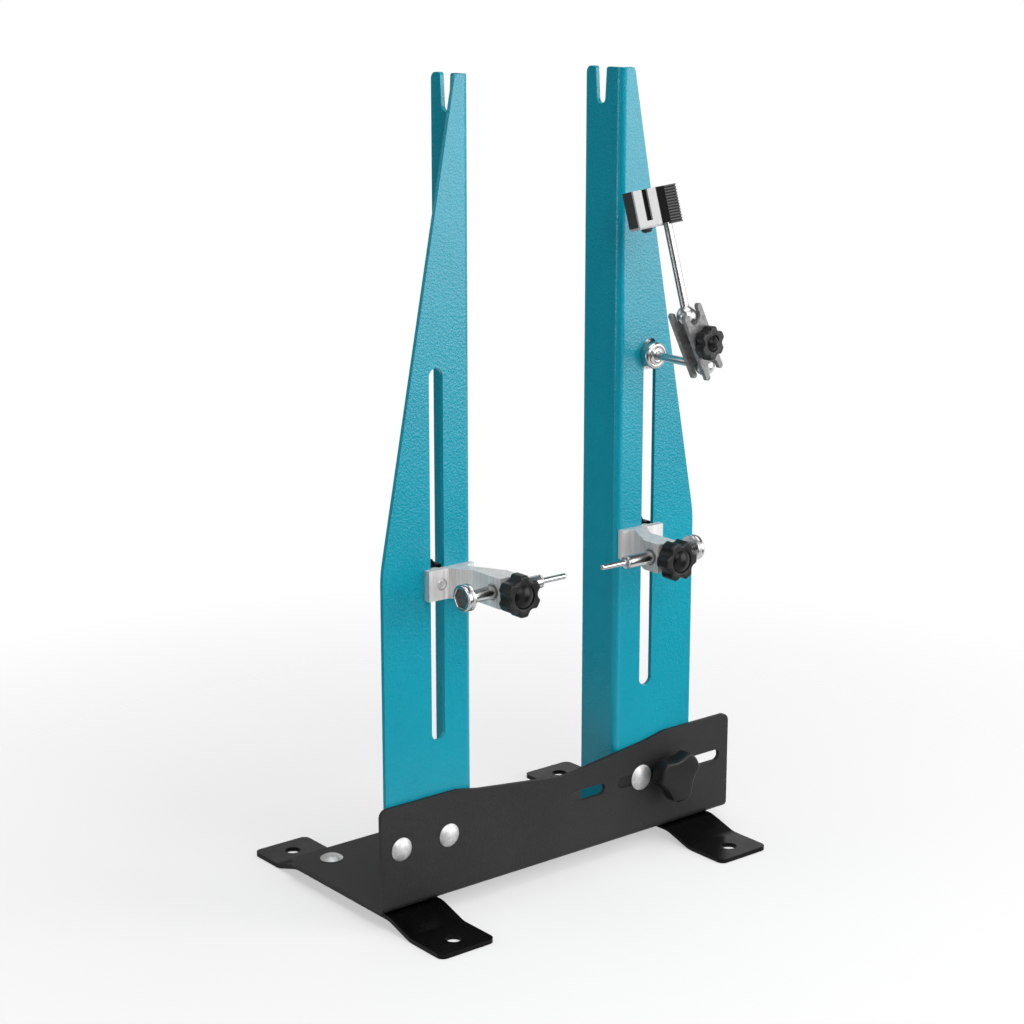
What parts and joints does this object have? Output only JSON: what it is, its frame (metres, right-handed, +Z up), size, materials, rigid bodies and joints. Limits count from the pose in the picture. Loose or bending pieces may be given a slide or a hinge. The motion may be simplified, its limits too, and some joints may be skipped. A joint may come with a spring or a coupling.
{
  "type": "bicycle wheel truing stand",
  "caption": "Free-standing wheel truing stand: folded base, two notched uprights, one sliding, with side feelers and a swivelling radial gauge.",
  "frame": {"origin": "centre of the four pad holes, on the ground", "axes": "+Z up, +X along the axle towards the sliding upright, -Y towards the user"},
  "size_m": [0.247, 0.1848, 0.436],
  "materials": {
    "upright_enamel": "hammered teal enamel",
    "base_powder_coat": "fine textured charcoal powder coat",
    "strap_enamel": "gloss black",
    "zinc_steel": "zinc plated",
    "satin_aluminium": "satin, extruded",
    "nickel_steel": "nickel plated",
    "chrome": "bright",
    "black_plastic": "moulded, satin",
    "gloss_plastic": "moulded, glossy",
    "black_block": "black oxide",
    "grip_rubber": "ribbed"
  },
  "bodies": {
    "base": {"base_channel": "base_powder_coat", "foot_strap_left": "strap_enamel", "foot_strap_right": "strap_enamel", "foot_rivets": "zinc_steel", "left_upright": "upright_enamel", "upright_rivets": "zinc_steel"},
    "right_upright": {"right_upright": "upright_enamel", "guide_bolt": "zinc_steel", "guide_key": "black_plastic", "guide_nut": "zinc_steel", "base_clamp_stud": "zinc_steel", "base_clamp_washer": "black_block"},
    "base_clamp": {"base_clamp_knob": "black_plastic"},
    "left_gauge": {"left_gauge_bracket": "satin_aluminium", "left_gauge_washer": "zinc_steel"},
    "left_gauge_clamp": {"left_gauge_knob": "black_plastic", "left_gauge_knob_cap": "gloss_plastic", "left_gauge_stud": "zinc_steel"},
    "left_feeler": {"left_feeler_rod": "chrome", "left_feeler_head": "chrome"},
    "left_lock": {"left_lock_knob": "black_plastic", "left_lock_knob_cap": "gloss_plastic", "left_lock_screw": "zinc_steel"},
    "right_gauge": {"right_gauge_bracket": "satin_aluminium", "right_gauge_washer": "zinc_steel"},
    "right_gauge_clamp": {"right_gauge_knob": "black_plastic", "right_gauge_knob_cap": "gloss_plastic", "right_gauge_stud": "zinc_steel"},
    "right_feeler": {"right_feeler_rod": "chrome", "right_feeler_head": "chrome"},
    "right_lock": {"right_lock_knob": "black_plastic", "right_lock_knob_cap": "gloss_plastic", "right_lock_screw": "zinc_steel"},
    "radial_post": {"radial_collar": "chrome", "radial_washer": "zinc_steel", "radial_nut": "zinc_steel"},
    "radial_stud": {"radial_stud": "chrome", "radial_stud_nut": "zinc_steel"},
    "radial_clamp": {"radial_plate_left": "nickel_steel", "radial_plate_right": "nickel_steel", "radial_bolt": "black_block"},
    "radial_clamp_knob": {"radial_knob": "black_plastic", "radial_knob_cap": "gloss_plastic"},
    "radial_arm": {"radial_arm": "chrome"},
    "radial_head": {"radial_head": "black_block", "radial_fork": "nickel_steel", "radial_screw": "black_block", "radial_grip": "grip_rubber"}
  },
  "joints": [
    {"name": "upright_slide", "type": "slide", "parent": "base", "child": "right_upright", "axis": [1, 0, 0], "range_m": [0, 0.04]},
    {"name": "base_clamp_turn", "type": "hinge", "parent": "right_upright", "child": "base_clamp", "pos_m": [0.079, -0.04025, 0.0422], "axis": [0, 1, 0], "continuous": true},
    {"name": "left_gauge_slide", "type": "slide", "parent": "base", "child": "left_gauge", "axis": [0, 0, 1], "range_m": [-0.08, 0.105]},
    {"name": "left_gauge_clamp_turn", "type": "hinge", "parent": "left_gauge", "child": "left_gauge_clamp", "pos_m": [-0.07875, -0.03525, 0.1805], "axis": [0, 1, 0], "continuous": true},
    {"name": "left_feeler_slide", "type": "slide", "parent": "left_gauge", "child": "left_feeler", "axis": [1, 0, 0], "range_m": [-0.017, 0.0115]},
    {"name": "left_lock_turn", "type": "hinge", "parent": "left_gauge", "child": "left_lock", "pos_m": [-0.0602, -0.07425, 0.1805], "axis": [0, 1, 0], "continuous": true},
    {"name": "right_gauge_slide", "type": "slide", "parent": "right_upright", "child": "right_gauge", "axis": [0, 0, 1], "range_m": [-0.08, 0.025]},
    {"name": "right_gauge_clamp_turn", "type": "hinge", "parent": "right_gauge", "child": "right_gauge_clamp", "pos_m": [0.06575, -0.03525, 0.1805], "axis": [0, 1, 0], "continuous": true},
    {"name": "right_feeler_slide", "type": "slide", "parent": "right_gauge", "child": "right_feeler", "axis": [-1, 0, 0], "range_m": [-0.017, 0.0115]},
    {"name": "right_lock_turn", "type": "hinge", "parent": "right_gauge", "child": "right_lock", "pos_m": [0.0472, -0.07425, 0.1805], "axis": [0, 1, 0], "continuous": true},
    {"name": "radial_slide", "type": "slide", "parent": "right_upright", "child": "radial_post", "axis": [0, 0, 1], "range_m": [-0.05, 0.004]},
    {"name": "radial_stud_turn", "type": "hinge", "parent": "radial_post", "child": "radial_stud", "pos_m": [0.06575, -0.08045, 0.283], "axis": [0, 1, 0], "range_deg": [-60, 100]},
    {"name": "radial_clamp_tilt", "type": "hinge", "parent": "radial_stud", "child": "radial_clamp", "pos_m": [0.06575, -0.08045, 0.283], "axis": [0.8728, 0.0948, 0.4787], "range_deg": [-8, 60]},
    {"name": "radial_knob_turn", "type": "hinge", "parent": "radial_clamp", "child": "radial_clamp_knob", "pos_m": [0.05814, -0.08128, 0.29705], "axis": [0.108, -0.9942, 0], "continuous": true},
    {"name": "radial_arm_tilt", "type": "hinge", "parent": "radial_clamp", "child": "radial_arm", "pos_m": [0.05052, -0.0821, 0.3111], "axis": [0.108, -0.9942, 0], "range_deg": [-2, 50]},
    {"name": "radial_head_turn", "type": "hinge", "parent": "radial_arm", "child": "radial_head", "pos_m": [0.05052, -0.0821, 0.3111], "axis": [-0.0814, 0.2334, 0.969], "range_deg": [-10, 180]}
  ]
}
